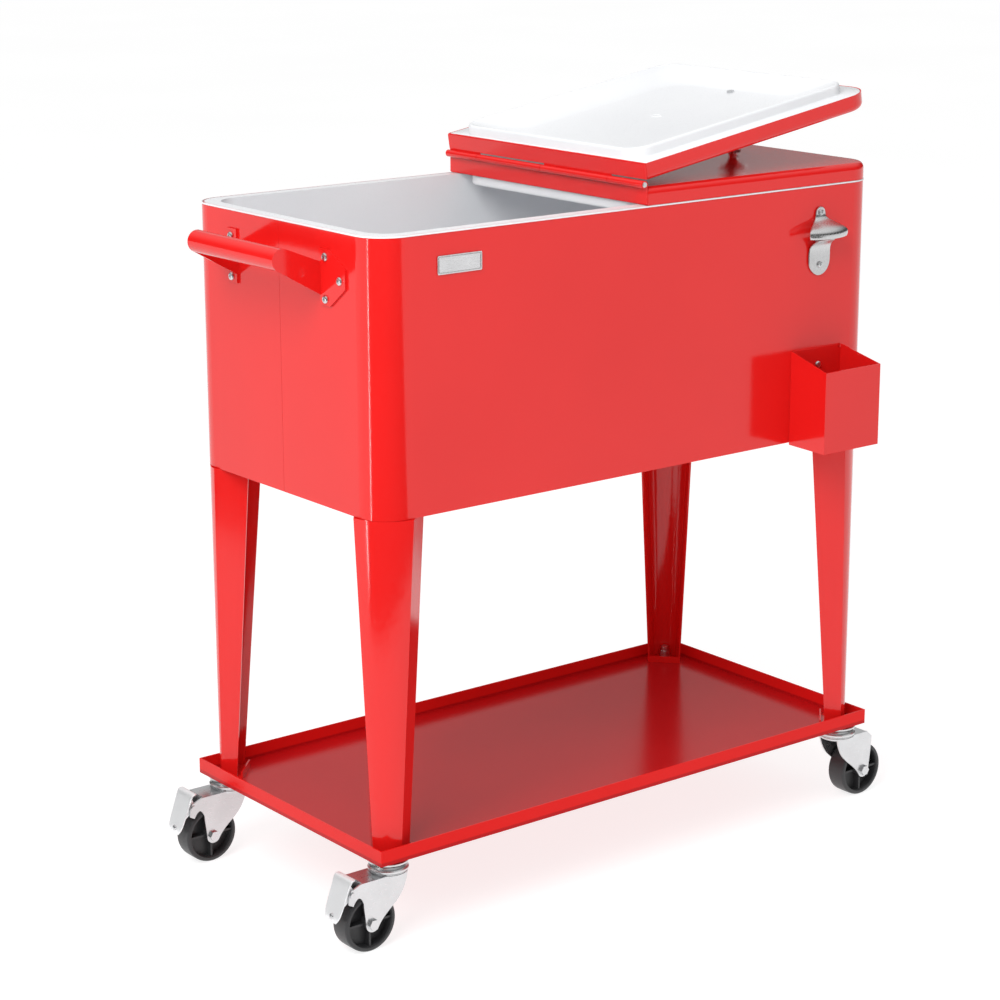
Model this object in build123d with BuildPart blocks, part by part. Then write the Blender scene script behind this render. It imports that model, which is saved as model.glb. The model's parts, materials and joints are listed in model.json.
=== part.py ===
from build123d import *
from math import cos, radians, sin, sqrt
import os

# Rolling patio cooler: an insulated chest on four legs with a lower tray,
# casters, two hinged lids, an end handle, a bottle opener and a cap bin.
# Millimetres. X runs along the chest, Y to the back, Z up from the ground.
# Lengths named below are given from the middle of the tub.

# Chest
LENGTH = 750.0
WIDTH = 370.0
CORNER = 38.0
SHEET = 1.2
SEAM_GAP = 0.4
CASING_BOTTOM = 495.2
CASING_TOP = 804.2
TOP_LIP = 12.0
PAN_RIM = 12.0
PAN_GAP = 0.2

# Liner
RIM_INSET = 3.0
RIM_TOP = 806.2
RIM_THICK = 2.0
CAVITY_INSET = 18.0
CAVITY_CORNER = 30.0
CAVITY_FLOOR = 522.0
LINER_WALL = 2.5
LINER_DRAFT = 1.0
FOAM_GAP = 0.3

# Lids, measured from the hinge line
HINGE_Z = 830.4
LID_TOP = -3.3
LID_BOTTOM = -23.9
LID_START = 4.6
LID_FILLET = 8.0
OPEN_TILT = 9.3
PLUG_DEPTH = 12.5
PLUG_START = 8.0
PLUG_CLEARANCE = 3.5
PLUG_RIDGE = 4.0
RECESS_END_SLOPE = 33.0
RECESS_SIDE_SLOPE = 50.0
RECESS_CORNER = 14.0
LID_FLOOR = -19.8
LID_FLOOR_THICK = 2.0
FLANGE_THICK = 2.0
KNOB_X = 310.0
KNOB_HEIGHT = 28.2
KNOB_RADIUS = 20.0
KNUCKLE_RADIUS = 4.4
KNUCKLE_BORE = 3.2
PIN_RADIUS = 3.15
KNUCKLE_ENDS = (-184.5, -123.0, 0.0, 123.0)
LEAF_THICK = 1.2
LEAF_TOP = -5.4

# Tray and legs
TRAY_LENGTH = 766.0
TRAY_WIDTH = 381.0
TRAY_BOTTOM = 102.6
TRAY_SHEET = 1.5
TRAY_RIM_TOP = 121.1
LEG_SHEET = 2.0
LEG_PLATE = 2.5
LEG_TOP = CASING_BOTTOM - 0.3
LEG_BOTTOM = TRAY_BOTTOM + TRAY_SHEET
LEG_INSET = 0.5
LEG_TOP_CHORD = 67.0
LEG_TOP_OPEN = 76.0
LEG_TOP_BULGE = 11.0
LEG_TOP_DEPTH = 53.0
LEG_FOOT_CHORD = 32.0
LEG_FOOT_OPEN = 44.0
LEG_FOOT_BULGE = 5.0
LEG_FOOT_DEPTH = 25.0
FOOT_LIP = 6.0

# Casters
SWIVEL_X = 356.8
SWIVEL_Y = 166.8
TRAIL = 34.0
WHEEL_RADIUS = 34.5
WHEEL_WIDTH = 27.0
TREAD_THICK = 6.0
HUB_RADIUS = 8.0
HUB_WIDTH = 28.8
AXLE_RADIUS = 4.0
AXLE_BORE = 4.06
SPOKES = 4
RACE_RADIUS = 23.5
FORK_TOP = 86.5
CHEEK_TOP = FORK_TOP - WHEEL_RADIUS
FORK_SHEET = 2.2
CHEEK_INNER = 14.8
STEM_RADIUS = 5.0
STEM_HOLE = 5.1
PEDAL_WIDTH = 35.0
PEDAL_SHEET = 1.8
PEDAL_CORNER = 12.0
EAR_INNER = 12.9
EAR_SHEET = 1.5
EAR_RADIUS = 5.0
PEDAL_PIVOT = 27.0
PEDAL_PIVOT_Z = 76.0
PEDAL_PIN_RADIUS = 2.5
PEDAL_LIP = (22.0, 92.5)
PEDAL_TOP = (28.5, 90.5)
PEDAL_FOOT = (45.0, 47.5)
PEDAL_CURL = (41.5, 42.0)
EAR_FOOT = (41.0, 60.0)

# Handle
BAR_RADIUS = 12.7
BAR_OUT = 52.0
BAR_Z = 776.0
ARM_INNER = 83.0
BRACKET = 2.5
ARM_ROOT_TOP = 769.0
ARM_ROOT_BOTTOM = 733.0
FLANGE_BOTTOM = 722.6
FLANGE_TOP = 784.6
FLANGE_END_BOTTOM = 745.0
FLANGE_END_TOP = 766.7
FLANGE_CLIP = ARM_INNER + 19
FLANGE_END = ARM_INNER + 48
HANDLE_SCREWS = ((94.0, 775.9), (94.0, 729.6), (121.0, 753.0))

# Opener, bin, name plate
OPENER_X = 279.0
OPENER_TOP = 780.6
OPENER_BOTTOM = 697.0
OPENER_SCREWS = (773.4, 710.3)
OPENER_PLATE = 2.5
OPENER_TAB = 8.0
OPENER_HALF = 18.0
OPENER_HOOD_TOP = 768.0
OPENER_BROW = 755.0
OPENER_LIP = 9.0
OPENER_WING = 31.0
OPENER_WING_OUT = 15.0
OPENER_JAW_LOW = 732.0
HOOD_REACH = 26.0
BIN_LEFT = 238.0
BIN_RIGHT = 322.0
BIN_DEPTH = 64.0
BIN_FLARE = 4.2
BIN_BOTTOM = 492.3
BIN_TOP = 608.2
BIN_FRONT_TOP = 591.7
BIN_NOTCH = 5.0
BIN_SCREWS = ((282.0, 586.6), (282.0, 530.0))
PLATE_X = -264.8
PLATE_Z = 769.6

# Screws
SCREW_RADIUS = 2.4
SCREW_HOLE = 2.6
SCREW_HEAD = 4.6
SCREW_REACH = 10.0

# Drain
DRAIN_RADIUS = 11.0
DRAIN_BORE = 7.0
DRAIN_LENGTH = 24.0

WALL = 0.3

# The origin is on the ground under the middle of the whole cart.
X_LOW = -(LENGTH / 2 + BAR_OUT + BAR_RADIUS)
X_HIGH = SWIVEL_X + TRAIL + WHEEL_RADIUS
Y_LOW = -(WIDTH / 2 + WALL + BIN_DEPTH)
Y_HIGH = SWIVEL_Y + RACE_RADIUS
TUB_X = -(X_LOW + X_HIGH) / 2
TUB_Y = -(Y_LOW + Y_HIGH) / 2


def at(x, y, z):
    """A point given from the middle of the tub."""
    return (TUB_X + x, TUB_Y + y, z)


def level(z, x=0.0, y=0.0):
    """A horizontal plane, facing up."""
    return Plane(origin=at(x, y, z))


def front_plane(x, y, z):
    """A vertical plane facing the front, with X to the right and Z up."""
    return Plane(origin=at(x, y, z), x_dir=(1, 0, 0), z_dir=(0, -1, 0))


def left_plane(x, y, z):
    """A vertical plane facing the handle end, with -Y to the right and Z up."""
    return Plane(origin=at(x, y, z), x_dir=(0, -1, 0), z_dir=(-1, 0, 0))


def write(builder, name):
    builder.part.label = name
    export_step(builder.part, f"parts/{name}.step")


# ---------------------------------------------------------------- chest

def outline(inset):
    """The chest's outline in plan, drawn in the current sketch."""
    radius = max(CORNER - inset, 2.0)
    RectangleRounded(LENGTH - 2 * inset, WIDTH - 2 * inset, radius)


def ring(outer_inset, inner_inset):
    outline(outer_inset)
    with BuildSketch(mode=Mode.PRIVATE) as hole:
        outline(inner_inset)
    add(hole.sketch, mode=Mode.SUBTRACT)


def make_casing(name, side):
    """One C-shaped half of the casing; the halves meet on the end walls."""
    with BuildPart() as casing:
        with BuildSketch(level(CASING_BOTTOM)):
            ring(0, SHEET)
        extrude(amount=CASING_TOP - CASING_BOTTOM)
        with BuildSketch(level(CASING_TOP)):
            ring(0, TOP_LIP)
        extrude(amount=-SHEET)
        with BuildSketch(level(CASING_BOTTOM)):
            with Locations((0, -side * WIDTH / 2)):
                Rectangle(LENGTH + 10, WIDTH + SEAM_GAP)
        extrude(amount=CASING_TOP - CASING_BOTTOM, mode=Mode.SUBTRACT)
        end_wall = [(-side * y, z) for y, z in HANDLE_SCREWS]
        with BuildSketch(left_plane(-LENGTH / 2, 0, 0)):
            with Locations(*end_wall):
                Circle(SCREW_HOLE)
        extrude(amount=-TOP_LIP, mode=Mode.SUBTRACT)
        if side < 0:
            with BuildSketch(front_plane(0, -WIDTH / 2, 0)):
                with Locations(*[(OPENER_X, z) for z in OPENER_SCREWS], *BIN_SCREWS):
                    Circle(SCREW_HOLE)
            extrude(amount=-TOP_LIP, mode=Mode.SUBTRACT)
    write(casing, name)


def make_casing_bottom():
    inset = SHEET + PAN_GAP
    with BuildPart() as pan:
        with BuildSketch(level(CASING_BOTTOM)):
            outline(inset)
        extrude(amount=SHEET)
        with BuildSketch(level(CASING_BOTTOM)):
            ring(inset, inset + SHEET)
        extrude(amount=PAN_RIM)
        with BuildSketch(level(CASING_BOTTOM)):
            Circle(DRAIN_RADIUS + 0.3)
            with Locations(*leg_screw_points()):
                Circle(SCREW_HOLE)
        extrude(amount=SHEET, mode=Mode.SUBTRACT)
    write(pan, "casing_bottom")


def cavity(inset):
    """The mouth of the tub's tapered hollow, grown outward by a negative inset."""
    edge = CAVITY_INSET + inset
    RectangleRounded(LENGTH - 2 * edge, WIDTH - 2 * edge, CAVITY_CORNER - inset)


def make_liner():
    with BuildPart() as liner:
        with BuildSketch(level(RIM_TOP)):
            outline(RIM_INSET)
        extrude(amount=-RIM_THICK)
        with BuildSketch(level(RIM_TOP)):
            cavity(-LINER_WALL)
        extrude(amount=-(RIM_TOP - CAVITY_FLOOR + LINER_WALL), taper=LINER_DRAFT)
        with BuildSketch(level(RIM_TOP)):
            cavity(0)
        extrude(amount=-(RIM_TOP - CAVITY_FLOOR), taper=LINER_DRAFT, mode=Mode.SUBTRACT)
        fillet(liner.faces().filter_by(Axis.Z).sort_by(Axis.Z)[1].edges(), radius=8)
        with BuildSketch(level(CAVITY_FLOOR)):
            Circle(DRAIN_RADIUS + 0.2)
        extrude(amount=-2 * LINER_WALL, mode=Mode.SUBTRACT)
    write(liner, "liner_tub")


def make_insulation():
    inset = SHEET + PAN_GAP + SHEET + FOAM_GAP
    bottom = CASING_BOTTOM + SHEET
    with BuildPart() as foam:
        with BuildSketch(level(bottom)):
            outline(inset)
        extrude(amount=CASING_TOP - SHEET - bottom)
        with BuildSketch(level(RIM_TOP)):
            cavity(-LINER_WALL - FOAM_GAP)
        depth = RIM_TOP - CAVITY_FLOOR + LINER_WALL
        extrude(amount=-depth, taper=LINER_DRAFT, mode=Mode.SUBTRACT)
        with BuildSketch(left_plane(-LENGTH / 2, 0, 0)):
            both_arms = [(s * y, z) for s in (-1, 1) for y, z in HANDLE_SCREWS]
            with Locations(*both_arms):
                Circle(SCREW_HOLE)
        extrude(amount=-SCREW_REACH - 1, mode=Mode.SUBTRACT)
        with BuildSketch(front_plane(0, -WIDTH / 2, 0)):
            with Locations(*[(OPENER_X, z) for z in OPENER_SCREWS], *BIN_SCREWS):
                Circle(SCREW_HOLE)
        extrude(amount=-SCREW_REACH - 1, mode=Mode.SUBTRACT)
        with BuildSketch(level(bottom)):
            Circle(DRAIN_RADIUS + 0.5)
            with Locations(*leg_screw_points()):
                Circle(SCREW_HOLE)
        extrude(amount=SCREW_REACH, mode=Mode.SUBTRACT)
        with BuildSketch(level(bottom)):
            Circle(DRAIN_RADIUS + 0.5)
        extrude(amount=CAVITY_FLOOR - bottom, mode=Mode.SUBTRACT)
    write(foam, "tub_insulation")


# ---------------------------------------------------------------- lids

def lid_frame(is_open):
    """A lid's own frame: origin on the hinge line, X away from it, Z out of its top."""
    if not is_open:
        return Plane(origin=at(0, 0, HINGE_Z), x_dir=(1, 0, 0), z_dir=(0, 0, 1))
    tilt = radians(OPEN_TILT)
    return Plane(
        origin=at(0, 0, HINGE_Z),
        x_dir=(cos(tilt), 0, sin(tilt)),
        z_dir=(sin(tilt), 0, -cos(tilt)),
    )


def lid_outline(inset):
    """A lid in plan: square at the hinge, rounded at the outer end."""
    start = LID_START + inset
    end = LENGTH / 2 - inset
    half = WIDTH / 2 - inset
    with BuildSketch(mode=Mode.PRIVATE) as plan:
        with BuildLine():
            Polyline((start, -half), (end, -half), (end, half), (start, half), close=True)
        make_face()
        fillet(plan.vertices().sort_by(Axis.X)[-2:], radius=CORNER - inset)
    return plan.sketch


def plug_outline(inset):
    start = PLUG_START + inset
    end = LENGTH / 2 - CAVITY_INSET - PLUG_CLEARANCE - inset
    half = WIDTH / 2 - CAVITY_INSET - PLUG_CLEARANCE - inset
    with Locations(((start + end) / 2, 0)):
        RectangleRounded(end - start, 2 * half, CAVITY_CORNER - PLUG_CLEARANCE - inset)


def recess_floor():
    """The flat floor that the lid's hollow slopes down to."""
    start = PLUG_START + PLUG_RIDGE + RECESS_END_SLOPE
    end = LENGTH / 2 - CAVITY_INSET - PLUG_CLEARANCE - PLUG_RIDGE - RECESS_END_SLOPE
    half = WIDTH / 2 - CAVITY_INSET - PLUG_CLEARANCE - PLUG_RIDGE - RECESS_SIDE_SLOPE
    with Locations(((start + end) / 2, 0)):
        RectangleRounded(end - start, 2 * half, RECESS_CORNER)


def make_lid_shell(name, frame):
    up = Axis(frame.origin, frame.z_dir)
    with BuildPart() as shell:
        with BuildSketch(frame.offset(LID_BOTTOM)):
            add(lid_outline(0))
        extrude(amount=LID_TOP - LID_BOTTOM)
        fillet(shell.faces().sort_by(up)[-1].edges(), radius=LID_FILLET)
        offset(amount=-SHEET, openings=shell.faces().sort_by(up)[0])
        with BuildSketch(frame.offset(LID_TOP)):
            with Locations((KNOB_X, 0)):
                Circle(SCREW_HOLE)
        extrude(amount=-2 * SHEET, mode=Mode.SUBTRACT)
    write(shell, name)


def make_lid_liner(name, frame):
    up = Axis(frame.origin, frame.z_dir)
    plug_bottom = LID_BOTTOM - PLUG_DEPTH
    with BuildPart() as liner:
        with BuildSketch(frame.offset(LID_BOTTOM)):
            add(lid_outline(SHEET + 0.3))
        extrude(amount=FLANGE_THICK)
        with BuildSketch(frame.offset(plug_bottom)):
            plug_outline(0)
        extrude(amount=LID_FLOOR + LID_FLOOR_THICK - plug_bottom)
        fillet(liner.faces().sort_by(up)[0].edges(), radius=3)
        with BuildSketch(frame.offset(plug_bottom)):
            plug_outline(PLUG_RIDGE)
        with BuildSketch(frame.offset(LID_FLOOR)):
            recess_floor()
        loft(mode=Mode.SUBTRACT)
        with BuildSketch(frame.offset(LID_FLOOR)):
            with Locations((KNOB_X, 0)):
                Circle(SCREW_HOLE)
        extrude(amount=LID_FLOOR_THICK, mode=Mode.SUBTRACT)
    write(liner, name)


def make_lid_foam(name, frame):
    low = LID_FLOOR + LID_FLOOR_THICK
    with BuildPart() as foam:
        with BuildSketch(frame.offset(low)):
            add(lid_outline(LID_FILLET))
            with Locations((KNOB_X, 0)):
                Circle(SCREW_HOLE, mode=Mode.SUBTRACT)
        extrude(amount=LID_TOP - SHEET - low)
    write(foam, name)


def lid_section(frame, x):
    """A plane across a lid at distance x, holding radius and height for a turned piece."""
    origin = frame.origin + frame.x_dir * x
    return Plane(origin=origin, x_dir=frame.x_dir, z_dir=-frame.y_dir)


def make_knob(name, frame):
    section = lid_section(frame, KNOB_X)
    base = LID_TOP
    top = LID_TOP + KNOB_HEIGHT
    rim = KNOB_RADIUS - 2
    dome_rise = top - (base + 24)
    dome_radius = (rim**2 + dome_rise**2) / (2 * dome_rise)
    dome_middle = top - dome_radius + sqrt(dome_radius**2 - (rim / 2) ** 2)
    with BuildPart() as knob:
        with BuildSketch(section):
            with BuildLine():
                Line((0, base), (9, base))
                Line((9, base), (9, base + 2))
                ThreePointArc((9, base + 2), (6.8, base + 5), (6.5, base + 9))
                ThreePointArc((6.5, base + 9), (9.5, base + 16), (rim, base + 20))
                ThreePointArc((rim, base + 20), (KNOB_RADIUS, base + 22), (rim, base + 24))
                ThreePointArc((rim, base + 24), (rim / 2, dome_middle), (0, top))
                Line((0, top), (0, base))
            make_face()
        revolve(axis=Axis(section.origin, frame.z_dir))
        with BuildSketch(frame.offset(base)):
            with Locations((KNOB_X, 0)):
                Circle(SCREW_HOLE)
        extrude(amount=12, mode=Mode.SUBTRACT)
    write(knob, name)


def make_knob_screw(name, frame):
    with BuildPart() as screw:
        with BuildSketch(frame.offset(LID_FLOOR)):
            with Locations((KNOB_X, 0)):
                Circle(SCREW_RADIUS)
        extrude(amount=LID_TOP + 11 - LID_FLOOR)
        with BuildSketch(frame.offset(LID_FLOOR)):
            with Locations((KNOB_X, 0)):
                Circle(SCREW_HEAD)
        extrude(amount=-2.2)
    write(screw, name)


def make_hinge_leaf(name, frame):
    """A rolled leaf: a strip on the lid's inner wall with two barrels around the pin."""
    with BuildPart() as leaf:
        strip_low = LID_BOTTOM + 1
        side = lid_section(frame, 0)
        outer_x = KNUCKLE_RADIUS
        inner_x = KNUCKLE_RADIUS - LEAF_THICK
        ends = list(KNUCKLE_ENDS) + [-KNUCKLE_ENDS[0]]
        with BuildSketch(side):
            with Locations(((outer_x + inner_x) / 2, (strip_low + LEAF_TOP) / 2)):
                Rectangle(LEAF_THICK, LEAF_TOP - strip_low)
        extrude(amount=-KNUCKLE_ENDS[0], both=True)
        for first in (0, 2):
            low = ends[first] + SEAM_GAP
            high = ends[first + 1] - SEAM_GAP
            with BuildSketch(side.offset(-low)):
                Circle(KNUCKLE_RADIUS)
                with Locations(((outer_x + inner_x) / 2, LEAF_TOP / 2)):
                    Rectangle(LEAF_THICK, -LEAF_TOP)
                Circle(KNUCKLE_BORE, mode=Mode.SUBTRACT)
            extrude(amount=low - high)
    write(leaf, name)


def make_hinge_pin():
    half = WIDTH / 2
    with BuildPart() as pin:
        with BuildSketch(front_plane(0, 0, HINGE_Z)):
            Circle(PIN_RADIUS)
        extrude(amount=half, both=True)
        chamfer(pin.edges().filter_by(GeomType.CIRCLE), length=0.6)
    write(pin, "hinge_pin")


def make_lid(prefix, is_open):
    frame = lid_frame(is_open)
    make_lid_shell(f"{prefix}_lid_shell", frame)
    make_lid_liner(f"{prefix}_lid_liner", frame)
    make_lid_foam(f"{prefix}_lid_foam", frame)
    make_knob(f"{prefix}_lid_knob", frame)
    make_knob_screw(f"{prefix}_knob_screw", frame)
    make_hinge_leaf(f"{prefix}_hinge_leaf", frame)


# ---------------------------------------------------------------- tray and legs

def make_tray():
    with BuildPart() as tray:
        with BuildSketch(level(TRAY_BOTTOM)):
            Rectangle(TRAY_LENGTH, TRAY_WIDTH)
        extrude(amount=TRAY_RIM_TOP - TRAY_BOTTOM)
        with BuildSketch(level(TRAY_BOTTOM + TRAY_SHEET)):
            Rectangle(TRAY_LENGTH - 2 * TRAY_SHEET, TRAY_WIDTH - 2 * TRAY_SHEET)
        extrude(amount=TRAY_RIM_TOP - TRAY_BOTTOM, mode=Mode.SUBTRACT)
        with BuildSketch(level(TRAY_BOTTOM)):
            with GridLocations(2 * SWIVEL_X, 2 * SWIVEL_Y, 2, 2):
                Circle(STEM_HOLE)
        extrude(amount=TRAY_SHEET, mode=Mode.SUBTRACT)
    write(tray, "tray")


def leg_apex(side_x, side_y):
    """The leg's outer line stands just inside the casing's rounded corner."""
    reach = CORNER * cos(radians(45)) - LEG_INSET
    return side_x * (LENGTH / 2 - CORNER + reach), side_y * (WIDTH / 2 - CORNER + reach)


def leg_plane(side_x, side_y, z):
    """A level plane at the leg's outer line whose X points out along the corner's diagonal."""
    x, y = leg_apex(side_x, side_y)
    return Plane(origin=at(x, y, z), x_dir=(side_x, side_y, 0), z_dir=(0, 0, 1))


def leg_face(chord, open_width, bulge, depth, skin):
    """The leg's section, solid across its open side; a skin over 0 gives its hollow."""
    half = chord / 2 - skin
    tail = open_width / 2 - skin
    end = depth + (1 if skin else 0)
    with BuildSketch(mode=Mode.PRIVATE) as section:
        with BuildLine():
            ThreePointArc((-bulge - skin, -half), (-skin, 0), (-bulge - skin, half))
            Line((-bulge - skin, half), (-end, tail))
            Line((-end, tail), (-end, -tail))
            Line((-end, -tail), (-bulge - skin, -half))
        make_face()
    return section.sketch


TOP_FACE = (LEG_TOP_CHORD, LEG_TOP_OPEN, LEG_TOP_BULGE, LEG_TOP_DEPTH)
FOOT_FACE = (LEG_FOOT_CHORD, LEG_FOOT_OPEN, LEG_FOOT_BULGE, LEG_FOOT_DEPTH)
LEG_SCREWS = ((-22.0, -16.0), (-22.0, 16.0))


def leg_screw_points():
    """The screws in the four leg heads, from the middle of the tub."""
    points = []
    for side_x in (-1, 1):
        for side_y in (-1, 1):
            x, y = leg_apex(side_x, side_y)
            out = Vector(side_x, side_y, 0).normalized()
            across = Vector(0, 0, 1).cross(out)
            for along, sideways in LEG_SCREWS:
                spot = Vector(x, y, 0) + out * along + across * sideways
                points.append((spot.X, spot.Y))
    return points


def make_leg(name, side_x, side_y):
    with BuildPart() as leg:
        with BuildSketch(leg_plane(side_x, side_y, LEG_TOP)):
            add(leg_face(*TOP_FACE, 0))
        with BuildSketch(leg_plane(side_x, side_y, LEG_BOTTOM)):
            add(leg_face(*FOOT_FACE, 0))
        loft()
        with BuildSketch(leg_plane(side_x, side_y, LEG_TOP - LEG_PLATE)):
            add(leg_face(*TOP_FACE, LEG_SHEET))
        with BuildSketch(leg_plane(side_x, side_y, LEG_BOTTOM + LEG_PLATE)):
            add(leg_face(*FOOT_FACE, LEG_SHEET))
        loft(mode=Mode.SUBTRACT)
        with BuildSketch(leg_plane(side_x, side_y, LEG_TOP)):
            with Locations(*LEG_SCREWS):
                Circle(SCREW_HOLE)
        extrude(amount=-LEG_PLATE, mode=Mode.SUBTRACT)
        with BuildSketch(leg_plane(side_x, side_y, LEG_BOTTOM)):
            with Locations((-LEG_FOOT_DEPTH - FOOT_LIP / 2, 0)):
                Rectangle(FOOT_LIP, LEG_FOOT_OPEN)
        extrude(amount=LEG_PLATE)
        with BuildSketch(leg_plane(side_x, side_y, LEG_BOTTOM)):
            with Locations((-LEG_FOOT_DEPTH - FOOT_LIP, 0)):
                Rectangle(LEG_SHEET, LEG_FOOT_OPEN)
        extrude(amount=LEG_PLATE + FOOT_LIP)
        with BuildSketch(level(LEG_BOTTOM, side_x * SWIVEL_X, side_y * SWIVEL_Y)):
            Circle(STEM_HOLE)
        extrude(amount=LEG_PLATE, mode=Mode.SUBTRACT)
    write(leg, name)


def make_leg_screws():
    low = LEG_TOP - LEG_PLATE
    with BuildPart() as screws:
        with BuildSketch(level(low)):
            with Locations(*leg_screw_points()):
                Circle(SCREW_RADIUS)
        extrude(amount=CASING_BOTTOM + SHEET + 5 - low)
        with BuildSketch(level(low)):
            with Locations(*leg_screw_points()):
                Circle(SCREW_HEAD)
        extrude(amount=-2.5)
    write(screws, "leg_screws")


# ---------------------------------------------------------------- casters

def make_stem(name, x, y):
    """The fixed part of a caster: upper race, threaded stem and the rivet under the fork."""
    with BuildPart() as stem:
        with BuildSketch(front_plane(x, y, 0)):
            with BuildLine():
                Polyline(
                    (0, FORK_TOP - FORK_SHEET - 3.3),
                    (STEM_RADIUS + 3, FORK_TOP - FORK_SHEET - 3.3),
                    (STEM_RADIUS + 3, FORK_TOP - FORK_SHEET - 0.3),
                    (STEM_RADIUS, FORK_TOP - FORK_SHEET - 0.3),
                    (STEM_RADIUS, 96.9),
                    (RACE_RADIUS - 4, 96.9),
                    (RACE_RADIUS - 1, 97.6),
                    (RACE_RADIUS, 98.6),
                    (RACE_RADIUS, 100.2),
                    (RACE_RADIUS - 1.5, 101.2),
                    (RACE_RADIUS - 4, TRAY_BOTTOM),
                    (STEM_RADIUS, TRAY_BOTTOM),
                    (STEM_RADIUS, 121),
                    (STEM_RADIUS - 1, 122),
                    (0, 122),
                    close=True,
                )
            make_face()
        revolve(axis=Axis(at(x, y, 0), (0, 0, 1)))
    write(stem, name)


def make_stem_nuts():
    low = LEG_BOTTOM + LEG_PLATE
    with BuildPart() as nuts:
        with BuildSketch(level(low)):
            with GridLocations(2 * SWIVEL_X, 2 * SWIVEL_Y, 2, 2):
                Circle(STEM_RADIUS + 2)
        extrude(amount=1.2)
        with BuildSketch(level(low)):
            with GridLocations(2 * SWIVEL_X, 2 * SWIVEL_Y, 2, 2):
                RegularPolygon(radius=7.0, side_count=6)
        extrude(amount=8.5)
        with BuildSketch(level(low)):
            with GridLocations(2 * SWIVEL_X, 2 * SWIVEL_Y, 2, 2):
                Circle(STEM_RADIUS + 0.05)
        extrude(amount=8.5, mode=Mode.SUBTRACT)
    write(nuts, "stem_nuts")


def cheek_face(way, braked):
    """A fork cheek seen from the front, with the swivel axis at X = 0."""

    def spot(behind, above):
        return (way * (TRAIL + behind), WHEEL_RADIUS + above)

    with BuildSketch(mode=Mode.PRIVATE) as cheek:
        with BuildLine():
            Spline(spot(-49, CHEEK_TOP), spot(-46, 40), spot(-37, 24), spot(-23, 11.5), spot(-8.5, -4))
            ThreePointArc(spot(-8.5, -4), spot(0.3, -9.4), spot(9, 1))
            Line(spot(9, 1), spot(12, 25))
            if braked:
                Spline(spot(12, 25), spot(14, 32), spot(18.5, 36), spot(23, 33), spot(26, 28))
                Polyline(
                    spot(26, 28),
                    spot(32, 31),
                    spot(31.5, 41),
                    spot(28.5, 47),
                    spot(15, CHEEK_TOP),
                    spot(-49, CHEEK_TOP),
                )
            else:
                Polyline(
                    spot(12, 25),
                    spot(13.5, CHEEK_TOP - 8),
                    spot(5, CHEEK_TOP),
                    spot(-49, CHEEK_TOP),
                )
        make_face()
    return cheek.sketch


def make_fork(name, x, y, way, braked):
    """A pressed fork with the lower race; way is the side of X that the wheel trails to."""
    outer = CHEEK_INNER + FORK_SHEET
    with BuildPart() as fork:
        for cheek in (-1, 1):
            start = -cheek * CHEEK_INNER
            with BuildSketch(front_plane(x, y + start, 0)):
                add(cheek_face(way, braked))
                with Locations((way * TRAIL, WHEEL_RADIUS)):
                    Circle(AXLE_BORE, mode=Mode.SUBTRACT)
                if braked:
                    with Locations((way * (TRAIL + PEDAL_PIVOT), PEDAL_PIVOT_Z)):
                        Circle(PEDAL_PIN_RADIUS + 0.05, mode=Mode.SUBTRACT)
            extrude(amount=cheek * FORK_SHEET)
        with BuildSketch(level(FORK_TOP, x, y)):
            long_end = TRAIL + (12 if braked else 4)
            with Locations((way * (long_end - 14) / 2, 0)):
                Rectangle(long_end + 14, 2 * outer)
            Circle(RACE_RADIUS - 1.5)
        extrude(amount=-FORK_SHEET)
        with BuildSketch(front_plane(x, y, 0)):
            with BuildLine():
                Polyline(
                    (0, FORK_TOP - 1),
                    (RACE_RADIUS - 2.5, FORK_TOP - 1),
                    (RACE_RADIUS - 1.5, FORK_TOP + 1.5),
                    (RACE_RADIUS, FORK_TOP + 3),
                    (RACE_RADIUS, FORK_TOP + 5),
                    (RACE_RADIUS - 2, FORK_TOP + 6.5),
                    (RACE_RADIUS - 1, FORK_TOP + 8),
                    (RACE_RADIUS - 2, 96.4),
                    (0, 96.4),
                    close=True,
                )
            make_face()
        revolve(axis=Axis(at(x, y, 0), (0, 0, 1)))
        with BuildSketch(level(FORK_TOP - FORK_SHEET, x, y)):
            Circle(STEM_HOLE)
        extrude(amount=20, mode=Mode.SUBTRACT)
    write(fork, name)


def make_axle(name, x, y, way):
    """The wheel's bolt, with its head at the front and its nut at the back."""
    outer = CHEEK_INNER + FORK_SHEET
    with BuildPart() as axle:
        with BuildSketch(front_plane(x + way * TRAIL, y, WHEEL_RADIUS)):
            Circle(AXLE_RADIUS)
        extrude(amount=outer + 1, both=True)
        with BuildSketch(front_plane(x + way * TRAIL, y - outer, WHEEL_RADIUS)):
            RegularPolygon(radius=6.6, side_count=6)
        extrude(amount=4.0)
        with BuildSketch(front_plane(x + way * TRAIL, y + outer, WHEEL_RADIUS)):
            RegularPolygon(radius=6.6, side_count=6)
        extrude(amount=-4.5)
    write(axle, name)


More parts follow.
